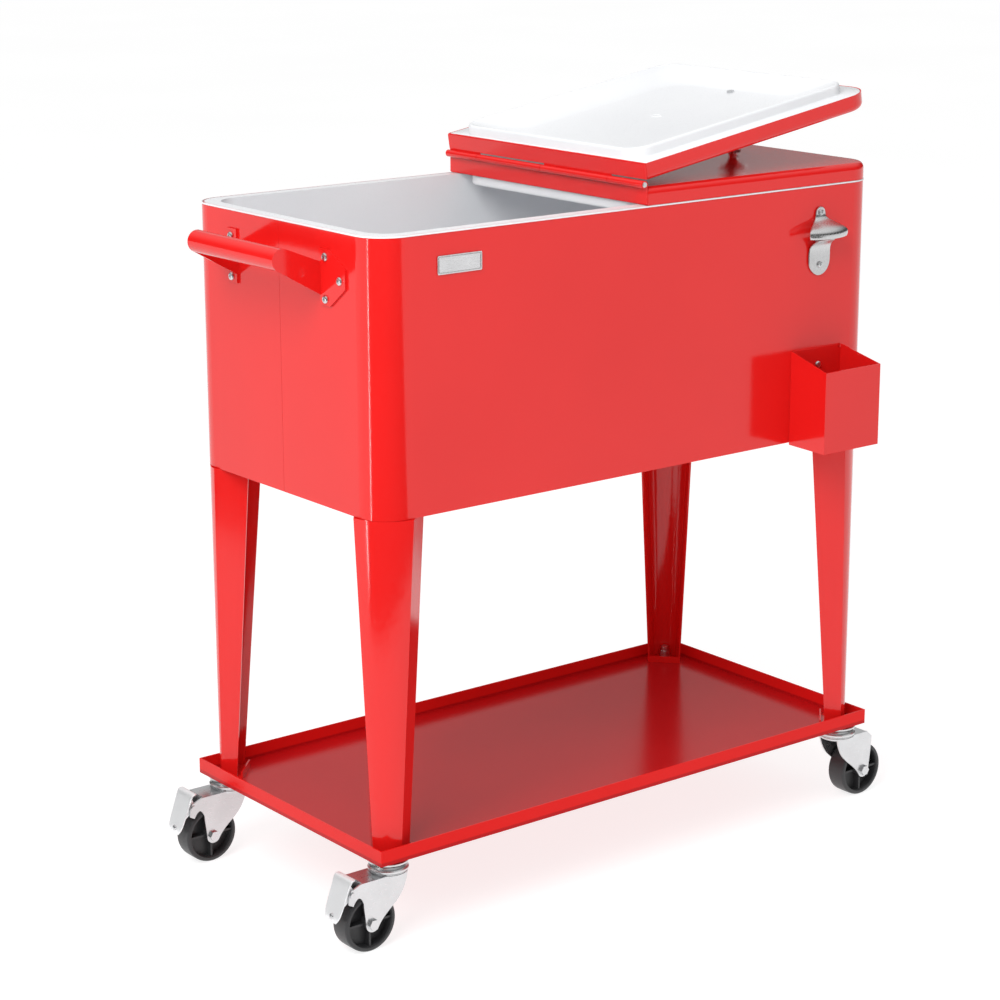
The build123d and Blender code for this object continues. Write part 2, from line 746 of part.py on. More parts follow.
def make_wheel(name, x, y, way):
    centre = at(x + way * TRAIL, y, WHEEL_RADIUS)
    half = WHEEL_WIDTH / 2
    inner = WHEEL_RADIUS - TREAD_THICK
    with BuildPart() as wheel:
        with BuildSketch(Plane(origin=centre, x_dir=(0, 1, 0), z_dir=(1, 0, 0))):
            with BuildLine():
                Line((-half + 2, inner), (-half, inner + 1))
                Line((-half, inner + 1), (-half, WHEEL_RADIUS - 3))
                ThreePointArc(
                    (-half, WHEEL_RADIUS - 3), (-half + 1, WHEEL_RADIUS - 1), (-half + 3, WHEEL_RADIUS - 0.2)
                )
                ThreePointArc(
                    (-half + 3, WHEEL_RADIUS - 0.2), (0, WHEEL_RADIUS), (half - 3, WHEEL_RADIUS - 0.2)
                )
                ThreePointArc(
                    (half - 3, WHEEL_RADIUS - 0.2), (half - 1, WHEEL_RADIUS - 1), (half, WHEEL_RADIUS - 3)
                )
                Line((half, WHEEL_RADIUS - 3), (half, inner + 1))
                Line((half, inner + 1), (half - 2, inner))
                Line((half - 2, inner), (-half + 2, inner))
            make_face()
        revolve(axis=Axis(centre, (0, 1, 0)))
        face = Plane(origin=centre, x_dir=(1, 0, 0), z_dir=(0, -1, 0))
        with BuildSketch(face):
            Circle(inner + 0.5)
        extrude(amount=2, both=True)
        with BuildSketch(face):
            Circle(HUB_RADIUS)
        extrude(amount=HUB_WIDTH / 2, both=True)
        with BuildSketch(face):
            with PolarLocations((HUB_RADIUS + inner) / 2, SPOKES):
                Rectangle(inner - HUB_RADIUS + 3, 2.6)
        extrude(amount=half - 3, both=True)
        with BuildSketch(face):
            Circle(AXLE_BORE)
        extrude(amount=HUB_WIDTH, both=True, mode=Mode.SUBTRACT)
    write(wheel, name)


def make_pedal(name, x, y, way):
    """The brake pedal: a leaning plate with a folded lip, and ears on the pin inside the fork."""

    def spot(behind, z):
        return (way * (TRAIL + behind), z)

    pivot = spot(PEDAL_PIVOT, PEDAL_PIVOT_Z)
    bottom = PEDAL_CURL[1] - PEDAL_SHEET
    with BuildPart() as pedal:
        with BuildSketch(front_plane(x, y, 0)):
            with BuildLine():
                Polyline(spot(*PEDAL_LIP), spot(*PEDAL_TOP), spot(*PEDAL_FOOT), spot(*PEDAL_CURL))
            trace(line_width=PEDAL_SHEET)
        extrude(amount=PEDAL_WIDTH / 2, both=True)
        with BuildSketch(left_plane(x, y, bottom)):
            with Locations((0, FORK_TOP / 2)):
                plate = Rectangle(PEDAL_WIDTH, FORK_TOP)
            fillet(plate.vertices().sort_by(Axis.Z)[:2], radius=PEDAL_CORNER)
        extrude(amount=-way * 2 * FORK_TOP, both=True, mode=Mode.INTERSECT)
        for ear in (-1, 1):
            with BuildSketch(front_plane(x, y - ear * EAR_INNER, 0)):
                with BuildLine():
                    Polyline(pivot, spot(*PEDAL_TOP), spot(*EAR_FOOT), close=True)
                make_face()
                with Locations(pivot):
                    Circle(EAR_RADIUS)
                    Circle(PEDAL_PIN_RADIUS + 0.05, mode=Mode.SUBTRACT)
            extrude(amount=ear * EAR_SHEET)
    write(pedal, name)


def make_pedal_pin(name, x, y, way):
    outer = CHEEK_INNER + FORK_SHEET
    centre_x = x + way * (TRAIL + PEDAL_PIVOT)
    with BuildPart() as pin:
        with BuildSketch(front_plane(centre_x, y, PEDAL_PIVOT_Z)):
            Circle(PEDAL_PIN_RADIUS)
        extrude(amount=outer + 0.5, both=True)
        for end in (-1, 1):
            with BuildSketch(front_plane(centre_x, y - end * outer, PEDAL_PIVOT_Z)):
                Circle(PEDAL_PIN_RADIUS + 1)
            extrude(amount=end * 1.5)
    write(pin, name)


def make_caster(corner, x, y, way, braked):
    make_stem(f"caster_stem_{corner}", x, y)
    make_fork(f"caster_fork_{corner}", x, y, way, braked)
    make_axle(f"caster_axle_{corner}", x, y, way)
    make_wheel(f"caster_wheel_{corner}", x, y, way)
    if braked:
        make_pedal(f"brake_pedal_{corner}", x, y, way)
        make_pedal_pin(f"brake_pin_{corner}", x, y, way)


# ---------------------------------------------------------------- handle

def make_handle_bar():
    with BuildPart() as bar:
        with BuildSketch(front_plane(-LENGTH / 2 - BAR_OUT, 0, BAR_Z)):
            Circle(BAR_RADIUS)
            Circle(BAR_RADIUS - 1.5, mode=Mode.SUBTRACT)
        extrude(amount=ARM_INNER, both=True)
    write(bar, "handle_bar")


def make_handle_arm(name, side):
    """One end of the handle: a tapered arm and a clipped flange on the end wall."""
    wall = -LENGTH / 2
    bar_x = wall - BAR_OUT
    with BuildPart() as arm:
        with BuildSketch(front_plane(0, side * ARM_INNER, 0)):
            with Locations((bar_x, BAR_Z)):
                Circle(BAR_RADIUS)
            with Locations((wall - 1, (ARM_ROOT_TOP + ARM_ROOT_BOTTOM) / 2)):
                Rectangle(2, ARM_ROOT_TOP - ARM_ROOT_BOTTOM)
            make_hull()
        extrude(amount=-side * BRACKET)
        with BuildSketch(left_plane(wall, 0, 0)):
            with BuildLine():
                Polyline(
                    (-side * ARM_INNER, FLANGE_BOTTOM),
                    (-side * FLANGE_CLIP, FLANGE_BOTTOM),
                    (-side * FLANGE_END, FLANGE_END_BOTTOM),
                    (-side * FLANGE_END, FLANGE_END_TOP),
                    (-side * FLANGE_CLIP, FLANGE_TOP),
                    (-side * ARM_INNER, FLANGE_TOP),
                    close=True,
                )
            make_face()
            with Locations(*[(-side * y, z) for y, z in HANDLE_SCREWS]):
                Circle(SCREW_HOLE, mode=Mode.SUBTRACT)
        extrude(amount=BRACKET)
    write(arm, name)


def make_screws(name, plane, points, seat):
    """Pan-head screws standing on a seat that thick, reaching back into the wall."""
    with BuildPart() as screws:
        with BuildSketch(plane.offset(seat)):
            with Locations(*points):
                Circle(SCREW_RADIUS)
        extrude(amount=-SCREW_REACH)
        with BuildSketch(plane.offset(seat)):
            with Locations(*points):
                Circle(SCREW_HEAD)
        extrude(amount=2.6)
        crowns = screws.faces().group_by(Axis(plane.origin, plane.z_dir))[-1]
        fillet(crowns.edges(), radius=1.2)
    write(screws, name)


# ---------------------------------------------------------------- opener, bin, name plate

def hood_plan(neck, wing, wing_out, reach):
    """The hood seen from above; its straight side is on the wall."""
    with BuildSketch(mode=Mode.PRIVATE) as plan:
        with BuildLine():
            Polyline((wing, -wing_out), (neck, 0), (-neck, 0), (-wing, -wing_out))
            ThreePointArc((-wing, -wing_out), (0, -reach), (wing, -wing_out))
        make_face()
    return plan.sketch


def make_opener():
    """A pressed wall opener: a tab, a hollow hood with a lip, and a plate whose top curls out."""
    wall = -WIDTH / 2 - WALL
    skin = OPENER_PLATE
    with BuildPart() as opener:
        with BuildSketch(level(OPENER_HOOD_TOP, OPENER_X, wall)):
            with Locations((0, -skin / 2)):
                Rectangle(2 * OPENER_TAB, skin)
        with BuildSketch(level(OPENER_BROW, OPENER_X, wall)):
            add(hood_plan(OPENER_TAB, OPENER_WING, OPENER_WING_OUT, HOOD_REACH))
        loft()
        with BuildSketch(level(OPENER_BROW, OPENER_X, wall)):
            add(hood_plan(OPENER_TAB, OPENER_WING, OPENER_WING_OUT, HOOD_REACH))
        extrude(amount=-OPENER_LIP)
        with BuildSketch(level(OPENER_HOOD_TOP - skin, OPENER_X, wall)):
            with Locations((0, -skin)):
                Rectangle(2 * OPENER_TAB - 2, 0.5)
        with BuildSketch(level(OPENER_BROW - skin, OPENER_X, wall)):
            add(hood_plan(OPENER_TAB - 1, OPENER_WING - 2, OPENER_WING_OUT - 0.5, HOOD_REACH - 2))
        loft(mode=Mode.SUBTRACT)
        with BuildSketch(level(OPENER_BROW - skin, OPENER_X, wall)):
            add(hood_plan(OPENER_TAB - 1, OPENER_WING - 2, OPENER_WING_OUT - 0.5, HOOD_REACH - 2))
            with Locations((0, -OPENER_WING_OUT / 2)):
                Rectangle(2 * OPENER_WING, OPENER_WING_OUT + 1)
        extrude(amount=-OPENER_LIP, mode=Mode.SUBTRACT)
        with BuildSketch(front_plane(OPENER_X, wall, 0)):
            with Locations((0, OPENER_TOP - OPENER_TAB)):
                Circle(OPENER_TAB)
            with Locations((0, OPENER_BOTTOM + OPENER_HALF)):
                Circle(OPENER_HALF)
            with Locations((0, (OPENER_BOTTOM + OPENER_HALF + OPENER_JAW_LOW) / 2)):
                Rectangle(2 * OPENER_HALF, OPENER_JAW_LOW - OPENER_BOTTOM - OPENER_HALF)
            with Locations((0, (OPENER_TOP + OPENER_BOTTOM) / 2)):
                Rectangle(2 * OPENER_TAB, OPENER_TOP - OPENER_BOTTOM - 2 * OPENER_TAB)
        extrude(amount=skin)
        with BuildSketch(Plane(origin=at(OPENER_X, wall, 0), x_dir=(0, -1, 0), z_dir=(-1, 0, 0))):
            with BuildLine():
                Polyline(
                    (skin / 2, OPENER_JAW_LOW - 2),
                    (3.5, OPENER_JAW_LOW + 4),
                    (12.5, OPENER_JAW_LOW + 9),
                )
            trace(line_width=skin - 0.4)
        extrude(amount=OPENER_HALF - 2, both=True)
        with BuildSketch(front_plane(OPENER_X, wall, 0)):
            with Locations(*[(0, z) for z in OPENER_SCREWS]):
                Circle(SCREW_HOLE)
        extrude(amount=2 * skin, mode=Mode.SUBTRACT)
    write(opener, "bottle_opener")


def bin_plan(inset):
    """The bin in plan: narrow on the wall and wide at the front."""
    back = (BIN_RIGHT - BIN_LEFT) / 2 - inset
    front = back + BIN_FLARE
    with BuildSketch(mode=Mode.PRIVATE) as plan:
        with BuildLine():
            Polyline(
                (-back, -inset),
                (-front, -BIN_DEPTH + inset),
                (front, -BIN_DEPTH + inset),
                (back, -inset),
                close=True,
            )
        make_face()
    return plan.sketch


def make_bin():
    wall = -WIDTH / 2 - WALL
    middle = (BIN_LEFT + BIN_RIGHT) / 2
    height = BIN_TOP - BIN_BOTTOM
    with BuildPart() as bin_box:
        with BuildSketch(level(BIN_BOTTOM, middle, wall)):
            add(bin_plan(0))
        extrude(amount=height)
        with BuildSketch(level(BIN_BOTTOM + SHEET, middle, wall)):
            add(bin_plan(SHEET))
        extrude(amount=height, mode=Mode.SUBTRACT)
        with BuildSketch(Plane(origin=at(middle, wall, 0), x_dir=(0, -1, 0), z_dir=(-1, 0, 0))):
            with BuildLine():
                Polyline(
                    (-1, BIN_TOP + 9),
                    (-1, BIN_TOP),
                    (0, BIN_TOP),
                    (BIN_DEPTH + 1, BIN_FRONT_TOP),
                    (BIN_DEPTH + 1, BIN_TOP + 9),
                    close=True,
                )
            make_face()
        extrude(amount=BIN_RIGHT - BIN_LEFT, both=True, mode=Mode.SUBTRACT)
        with BuildSketch(level(BIN_TOP, BIN_RIGHT - BIN_NOTCH / 2, wall)):
            Rectangle(BIN_NOTCH, 4 * SHEET)
        extrude(amount=-BIN_NOTCH, mode=Mode.SUBTRACT)
        with BuildSketch(front_plane(0, wall, 0)):
            with Locations(*BIN_SCREWS):
                Circle(SCREW_HOLE)
        extrude(amount=2 * SHEET, mode=Mode.SUBTRACT)
    write(bin_box, "catch_bin")


def make_name_plate():
    with BuildPart() as plate:
        with BuildSketch(front_plane(PLATE_X, -WIDTH / 2 - WALL, PLATE_Z)):
            RectangleRounded(60, 20.5, 1.5)
        extrude(amount=1.0)
    write(plate, "name_plate")


# ---------------------------------------------------------------- drain

def make_drain():
    """A threaded spout through the tub's floor, its nut below and a screw cap."""
    low = CASING_BOTTOM - DRAIN_LENGTH
    with BuildPart() as spout:
        with BuildSketch(level(low)):
            Circle(DRAIN_RADIUS)
        extrude(amount=CAVITY_FLOOR + 0.2 - low)
        with BuildSketch(level(CAVITY_FLOOR + 0.2)):
            Circle(DRAIN_RADIUS + 7)
        extrude(amount=2)
        with BuildSketch(level(low)):
            Circle(DRAIN_BORE)
        extrude(amount=80, mode=Mode.SUBTRACT)
    write(spout, "drain_spout")
    with BuildPart() as nut:
        with BuildSketch(level(CASING_BOTTOM - 0.2)):
            RegularPolygon(radius=DRAIN_RADIUS + 7, side_count=6)
            Circle(DRAIN_RADIUS + 0.1, mode=Mode.SUBTRACT)
        extrude(amount=-6)
    write(nut, "drain_nut")
    with BuildPart() as cap:
        with BuildSketch(level(low - 3)):
            Circle(DRAIN_RADIUS + 3)
        extrude(amount=15)
        with BuildSketch(level(low - 0.2)):
            Circle(DRAIN_RADIUS + 0.3)
        extrude(amount=15, mode=Mode.SUBTRACT)
        with BuildSketch(level(low - 3)):
            with PolarLocations(DRAIN_RADIUS + 3, 16):
                Circle(0.8)
        extrude(amount=15)
    write(cap, "drain_cap")


os.makedirs("parts", exist_ok=True)
make_casing("casing_front", -1)
make_casing("casing_back", 1)
make_casing_bottom()
make_liner()
make_insulation()
make_lid("right", False)
make_lid("left", True)
make_hinge_pin()
make_tray()
for front_back, side_y in (("front", -1), ("back", 1)):
    for left_right, side_x in (("left", -1), ("right", 1)):
        corner = f"{front_back}_{left_right}"
        make_leg(f"leg_{corner}", side_x, side_y)
        make_caster(corner, side_x * SWIVEL_X, side_y * SWIVEL_Y, side_x, side_x < 0)
make_leg_screws()
make_stem_nuts()
make_handle_bar()
make_handle_arm("handle_arm_front", -1)
make_handle_arm("handle_arm_back", 1)
end_points = [(s * y, z) for s in (-1, 1) for y, z in HANDLE_SCREWS]
make_screws("handle_screws", left_plane(-LENGTH / 2, 0, 0), end_points, BRACKET)
front_wall = front_plane(0, -WIDTH / 2, 0)
make_opener()
opener_points = [(OPENER_X, z) for z in OPENER_SCREWS]
make_screws("opener_screws", front_wall, opener_points, WALL + OPENER_PLATE)
make_bin()
make_screws("bin_screws", front_wall, BIN_SCREWS, WALL + SHEET)
make_name_plate()
make_drain()
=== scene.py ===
import math

import bmesh
import bpy
from mathutils import Matrix, Vector
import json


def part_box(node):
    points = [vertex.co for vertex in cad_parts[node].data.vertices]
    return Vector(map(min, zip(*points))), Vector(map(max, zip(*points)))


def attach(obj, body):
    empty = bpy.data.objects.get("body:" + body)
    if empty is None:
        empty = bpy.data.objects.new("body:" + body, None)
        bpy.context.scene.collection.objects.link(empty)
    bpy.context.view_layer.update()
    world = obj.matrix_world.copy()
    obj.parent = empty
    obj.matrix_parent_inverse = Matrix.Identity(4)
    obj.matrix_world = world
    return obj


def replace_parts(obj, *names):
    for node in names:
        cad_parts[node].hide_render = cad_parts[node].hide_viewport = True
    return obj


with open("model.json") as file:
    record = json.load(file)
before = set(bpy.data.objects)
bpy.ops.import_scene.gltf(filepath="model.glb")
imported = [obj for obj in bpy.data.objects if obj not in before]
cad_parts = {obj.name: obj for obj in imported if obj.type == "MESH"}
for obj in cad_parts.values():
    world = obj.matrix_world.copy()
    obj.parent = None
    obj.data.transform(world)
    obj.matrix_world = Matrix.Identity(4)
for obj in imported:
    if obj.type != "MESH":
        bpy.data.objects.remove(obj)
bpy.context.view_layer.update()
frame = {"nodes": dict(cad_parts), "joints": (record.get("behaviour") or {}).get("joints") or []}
nodes = frame["nodes"]
scene = bpy.context.scene


# ---------------------------------------------------------------- materials

def new_material(name):
    made = bpy.data.materials.new(name)
    made.use_nodes = True
    tree = made.node_tree
    shader = tree.nodes["Principled BSDF"]
    return made, tree, shader


def place_map(tree, scale=(1.0, 1.0, 1.0)):
    coords = tree.nodes.new("ShaderNodeTexCoord")
    mapping = tree.nodes.new("ShaderNodeMapping")
    mapping.inputs["Scale"].default_value = scale
    tree.links.new(coords.outputs["Object"], mapping.inputs["Vector"])
    return mapping.outputs["Vector"]


def noise(tree, vector, scale, detail=2.0, roughness=0.5):
    node = tree.nodes.new("ShaderNodeTexNoise")
    node.inputs["Scale"].default_value = scale
    node.inputs["Detail"].default_value = detail
    node.inputs["Roughness"].default_value = roughness
    tree.links.new(vector, node.inputs["Vector"])
    return node.outputs["Fac"]


def spread(tree, value, low, high):
    node = tree.nodes.new("ShaderNodeMapRange")
    node.inputs["From Min"].default_value = 0.3
    node.inputs["From Max"].default_value = 0.7
    node.inputs["To Min"].default_value = low
    node.inputs["To Max"].default_value = high
    tree.links.new(value, node.inputs["Value"])
    return node.outputs["Result"]


def blend_colour(tree, value, first, second):
    node = tree.nodes.new("ShaderNodeMix")
    node.data_type = "RGBA"
    node.inputs["A"].default_value = (*first, 1.0)
    node.inputs["B"].default_value = (*second, 1.0)
    tree.links.new(spread(tree, value, 0.0, 1.0), node.inputs["Factor"])
    return node.outputs["Result"]


def bump(tree, shader, height, strength, distance):
    node = tree.nodes.new("ShaderNodeBump")
    node.inputs["Strength"].default_value = strength
    node.inputs["Distance"].default_value = distance
    tree.links.new(height, node.inputs["Height"])
    tree.links.new(node.outputs["Normal"], shader.inputs["Normal"])


def finish_material(name, first, second, rough, metallic=0.0, grain=(1.0, 1.0, 1.0),
                    tone_scale=6.0, grain_scale=400.0, grain_depth=0.00002, strength=0.3):
    """A finish whose tone drifts over the piece and whose gloss and surface carry a fine grain."""
    made, tree, shader = new_material(name)
    plain = place_map(tree)
    along = place_map(tree, grain)
    tone = noise(tree, plain, tone_scale, 3.0)
    fine = noise(tree, along, grain_scale, 3.0, 0.6)
    tree.links.new(blend_colour(tree, tone, first, second), shader.inputs["Base Color"])
    tree.links.new(spread(tree, fine, *rough), shader.inputs["Roughness"])
    shader.inputs["Metallic"].default_value = metallic
    bump(tree, shader, fine, strength, grain_depth)
    return made


ENAMEL_REDS = ((0.70, 0.0105, 0.0095), (0.74, 0.0125, 0.0115))
ENAMEL_TONE, ENAMEL_GRAIN, ENAMEL_DEPTH, ENAMEL_BUMP = 4.0, 260.0, 0.00003, 0.12

enamel = finish_material("red_enamel", *ENAMEL_REDS, (0.09, 0.15), tone_scale=ENAMEL_TONE,
                         grain_scale=ENAMEL_GRAIN, grain_depth=ENAMEL_DEPTH, strength=ENAMEL_BUMP)
liner_white = finish_material("white_liner", (0.80, 0.81, 0.83), (0.84, 0.85, 0.865),
                              (0.26, 0.36), tone_scale=5.0, grain_scale=900.0,
                              grain_depth=0.00002, strength=0.12)
foam = finish_material("foam", (0.80, 0.72, 0.50), (0.86, 0.79, 0.58), (0.8, 0.95),
                       tone_scale=30.0, grain_scale=500.0, grain_depth=0.0004, strength=0.5)
zinc = finish_material("zinc", (0.66, 0.67, 0.68), (0.72, 0.73, 0.74), (0.26, 0.36), 1.0,
                       grain=(0.25, 1.0, 1.0), tone_scale=40.0, grain_scale=500.0,
                       grain_depth=0.000005, strength=0.12)
pedal_zinc = finish_material("pedal_zinc", (0.86, 0.87, 0.88), (0.90, 0.91, 0.92),
                             (0.34, 0.46), 0.6, grain=(1.0, 1.0, 0.1), tone_scale=30.0,
                             grain_scale=900.0, grain_depth=0.000006, strength=0.1)
chrome = finish_material("chrome", (0.78, 0.78, 0.79), (0.82, 0.82, 0.83), (0.04, 0.08), 1.0,
                         tone_scale=20.0, grain_scale=300.0, grain_depth=0.000004, strength=0.1)
stainless = finish_material("stainless", (0.56, 0.56, 0.56), (0.63, 0.63, 0.64), (0.2, 0.34), 1.0,
                            grain=(1.0, 1.0, 0.06), tone_scale=25.0, grain_scale=1500.0,
                            grain_depth=0.000012, strength=0.25)
wheel_black = finish_material("black_wheel", (0.026, 0.026, 0.028), (0.036, 0.036, 0.038),
                              (0.34, 0.5), tone_scale=30.0, grain_scale=900.0,
                              grain_depth=0.00004, strength=0.3)
plate_silver = finish_material("plate_silver", (0.70, 0.70, 0.71), (0.76, 0.76, 0.77),
                               (0.2, 0.32), 1.0, grain=(0.05, 1.0, 1.0), tone_scale=30.0,
                               grain_scale=1500.0, grain_depth=0.00001, strength=0.25)
fitting_white = finish_material("white_fitting", (0.76, 0.76, 0.75), (0.82, 0.82, 0.81),
                                (0.35, 0.5), tone_scale=30.0, grain_scale=900.0,
                                grain_depth=0.00003, strength=0.2)


# Painted shade: these darker reds on the tray floor stand in for the shadow the tub casts onto it.
TRAY_PAINTED_SHADE_REDS = ((0.44, 0.006, 0.008), (0.48, 0.008, 0.010))
TRAY_RIM_START, TRAY_RIM_FULL = 0.106, 0.108


def tray_painted_shade_finish():
    """The cart's enamel, with painted shade: the tray floor is painted a deeper red than its rim,
    standing in for the shadow of the tub above it.
    """
    made, tree, shader = new_material("tray_enamel_painted_shade")
    plain = place_map(tree)
    tone = noise(tree, plain, ENAMEL_TONE, 3.0)
    fine = noise(tree, plain, ENAMEL_GRAIN, 3.0, 0.6)
    split = tree.nodes.new("ShaderNodeSeparateXYZ")
    tree.links.new(plain, split.inputs["Vector"])
    # Painted shade mask: below the rim height the floor takes the darker reds that stand in for
    # shadow.
    height = tree.nodes.new("ShaderNodeMapRange")
    height.inputs["From Min"].default_value = TRAY_RIM_START
    height.inputs["From Max"].default_value = TRAY_RIM_FULL
    tree.links.new(split.outputs["Z"], height.inputs["Value"])
    mix = tree.nodes.new("ShaderNodeMix")
    mix.data_type = "RGBA"
    tree.links.new(height.outputs["Result"], mix.inputs["Factor"])
    tree.links.new(blend_colour(tree, tone, *TRAY_PAINTED_SHADE_REDS), mix.inputs["A"])
    tree.links.new(blend_colour(tree, tone, *ENAMEL_REDS), mix.inputs["B"])
    tree.links.new(mix.outputs["Result"], shader.inputs["Base Color"])
    tree.links.new(spread(tree, fine, 0.16, 0.24), shader.inputs["Roughness"])
    shader.inputs["Specular IOR Level"].default_value = 0.32
    shader.inputs["Specular Tint"].default_value = (1.0, 0.22, 0.2, 1.0)
    bump(tree, shader, fine, ENAMEL_BUMP, ENAMEL_DEPTH)
    return made


tray_enamel_painted_shade = tray_painted_shade_finish()

BY_SLOT = {
    "red_enamel": enamel,
    "white_liner": liner_white,
    "foam": foam,
    "zinc": zinc,
    "chrome": chrome,
    "stainless": stainless,
    "black_wheel": wheel_black,
    "plate_silver": plate_silver,
    "white_fitting": fitting_white,
}

for node_name, node in nodes.items():
    given = node.data.materials[0].name.split(".")[0]
    node.data.materials.clear()
    # The tray gets the enamel whose floor carries painted shade.
    node.data.materials.append(tray_enamel_painted_shade if node_name == "tray" else BY_SLOT[given])


# ---------------------------------------------------------------- new pieces

MM = 0.001
FRONT_WALL = -185.3
WALL_SCREW_SEAT = 2.5


def joint(name):
    return next(j for j in frame["joints"] if j["name"] == name)


# The hinge line crosses the middle of the tub, so tub sizes are counted from it.
hinge = Vector(joint("right_lid_hinge")["pos_m"])
OPEN_TILT = math.radians(9.3)


def spot(x, y, z):
    """A point in the row frame; x and y are millimetres from the tub's middle, z from the floor."""
    return Vector((hinge.x + x * MM, hinge.y + y * MM, z * MM))


def lid_matrix(is_open):
    """The frame of a lid: X away from the hinge, Y across it, Z out of its liner."""
    if is_open:
        away = Vector((math.cos(OPEN_TILT), 0.0, math.sin(OPEN_TILT)))
        out = Vector((-math.sin(OPEN_TILT), 0.0, math.cos(OPEN_TILT)))
    else:
        away = Vector((1.0, 0.0, 0.0))
        out = Vector((0.0, 0.0, -1.0))
    side = out.cross(away)
    turned = Matrix((away, side, out)).transposed().to_4x4()
    return Matrix.Translation(hinge) @ turned


def link(name, mesh, body):
    """An object for the mesh, riding a body."""
    made = bpy.data.objects.new(name, mesh)
    scene.collection.objects.link(made)
    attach(made, body)
    return made


def shade(mesh, angle):
    mesh.polygons.foreach_set("use_smooth", [True] * len(mesh.polygons))
    mesh.set_sharp_from_angle(angle=math.radians(angle))


def thicken(made, thickness):
    """A sheet given its thickness, half to each side."""
    thick = made.modifiers.new("thick", "SOLIDIFY")
    thick.thickness = thickness * MM
    thick.offset = 0.0


def soften(made, levels):
    soft = made.modifiers.new("soft", "SUBSURF")
    soft.levels = soft.render_levels = levels


def add_piece(name, points, faces, finish, body, placed=None, smooth=35.0):
    """A piece from points and faces; placed moves them, smooth is the angle of a sharp edge."""
    mesh = bpy.data.meshes.new(name)
    mesh.from_pydata([tuple(p) for p in points], [], faces)
    if placed is not None:
        mesh.transform(placed)
    mesh.materials.append(finish)
    work = bmesh.new()
    work.from_mesh(mesh)
    bmesh.ops.recalc_face_normals(work, faces=work.faces)
    work.to_mesh(mesh)
    work.free()
    shade(mesh, smooth)
    return link(name, mesh, body)


CORNER_STEPS = 10


def rounded_ring(start, end, half, near_radius, far_radius, height):
    """A rectangle with its own corner radius at each end, as points at one height."""
    ring = []
    corners = ((end, half, far_radius, 0.0), (start, half, near_radius, 90.0),
               (start, -half, near_radius, 180.0), (end, -half, far_radius, 270.0))
    for x, y, radius, first in corners:
        middle_x = x - math.copysign(radius, x - (start + end) / 2)
        middle_y = y - math.copysign(radius, y)
        for step in range(CORNER_STEPS + 1):
            angle = math.radians(first + 90.0 * step / CORNER_STEPS)
            ring.append((middle_x + radius * math.cos(angle),
                         middle_y + radius * math.sin(angle), height))
    return ring


def skin(rings, capped=True):
    """Points and faces that join one ring of points to the next."""
    count = len(rings[0])
    points = [p for ring in rings for p in ring]
    faces = []
    for level in range(len(rings) - 1):
        for i in range(count):
            j = (i + 1) % count
            faces.append((level * count + i, level * count + j,
                          (level + 1) * count + j, (level + 1) * count + i))
    if capped:
        last = (len(rings) - 1) * count
        faces.append(tuple(range(last, last + count)))
    return points, faces


def joined(*parts):
    """Several lists of points and faces as one."""
    points, faces = [], []
    for more_points, more_faces in parts:
        shift = len(points)
        points += more_points
        faces += [tuple(i + shift for i in face) for face in more_faces]
    return points, faces


# Lid sizes in millimetres: distance from the hinge, half width across it, height from it.
LID_START, LID_END, LID_HALF, LID_CORNER = 4.6, 375.0, 185.0, 38.0
FLANGE_INSET, FLANGE_LOW, FLANGE_HIGH = 1.5, 21.9, 23.9
PLUG_START, PLUG_END, PLUG_HALF, PLUG_CORNER = 8.0, 353.5, 163.5, 26.5
PLUG_RIM, RECESS_FLOOR = 36.4, 19.8
END_SLOPE, SIDE_SLOPE, FLOOR_CORNER, RIM_WIDTH = 33.0, 50.0, 34.0, 4.0
SLOPE_STEPS = 16
MARK_X, MARK_HALF_X, MARK_HALF_Y, MARK_SIDES = 185.0, 5.0, 8.5, 32
MARK_PROFILE = ((1.15, 0.02), (1.1, 0.45), (0.9, 0.45), (0.85, 0.02))
FLANGE_PROFILE = ((0.0, FLANGE_LOW), (0.0, FLANGE_HIGH - 0.5), (0.5, FLANGE_HIGH))
PLUG_PROFILE = (
    (-1.6, FLANGE_HIGH), (-0.5, FLANGE_HIGH + 0.5), (0.0, FLANGE_HIGH + 1.6),
    (0.1, PLUG_RIM - 3.2), (0.5, PLUG_RIM - 1.8), (1.3, PLUG_RIM - 0.75),
    (2.3, PLUG_RIM - 0.2), (3.2, PLUG_RIM - 0.1), (RIM_WIDTH, PLUG_RIM - 0.6))


def plug_ring(inset, height):
    return rounded_ring(PLUG_START + inset, PLUG_END - inset, PLUG_HALF - inset,
                        PLUG_CORNER - inset, PLUG_CORNER - inset, height)


def recess_ring(t):
    """The recess at a share t of the way from the rim down to its floor."""
    top = PLUG_PROFILE[-1][1]
    fall = 0.4 * t + 0.6 * t * t * (3.0 - 2.0 * t) + 0.12 * math.sin(math.pi * t) * (1.0 - t)
    run_x = RIM_WIDTH + END_SLOPE * t
    run_y = RIM_WIDTH + SIDE_SLOPE * t
    radius = PLUG_CORNER - RIM_WIDTH + (FLOOR_CORNER - PLUG_CORNER + RIM_WIDTH) * t
    return rounded_ring(PLUG_START + run_x, PLUG_END - run_x, PLUG_HALF - run_y,
                        radius, radius, top + (RECESS_FLOOR - top) * fall)


def mould_mark():
    """A low oval ridge on the recess floor, as a strip of faces."""
    rings = [[(MARK_X + MARK_HALF_X * out * math.cos(2.0 * math.pi * i / MARK_SIDES),
               MARK_HALF_Y * out * math.sin(2.0 * math.pi * i / MARK_SIDES),
               RECESS_FLOOR + height) for i in range(MARK_SIDES)]
             for out, height in MARK_PROFILE]
    return skin(rings, False)


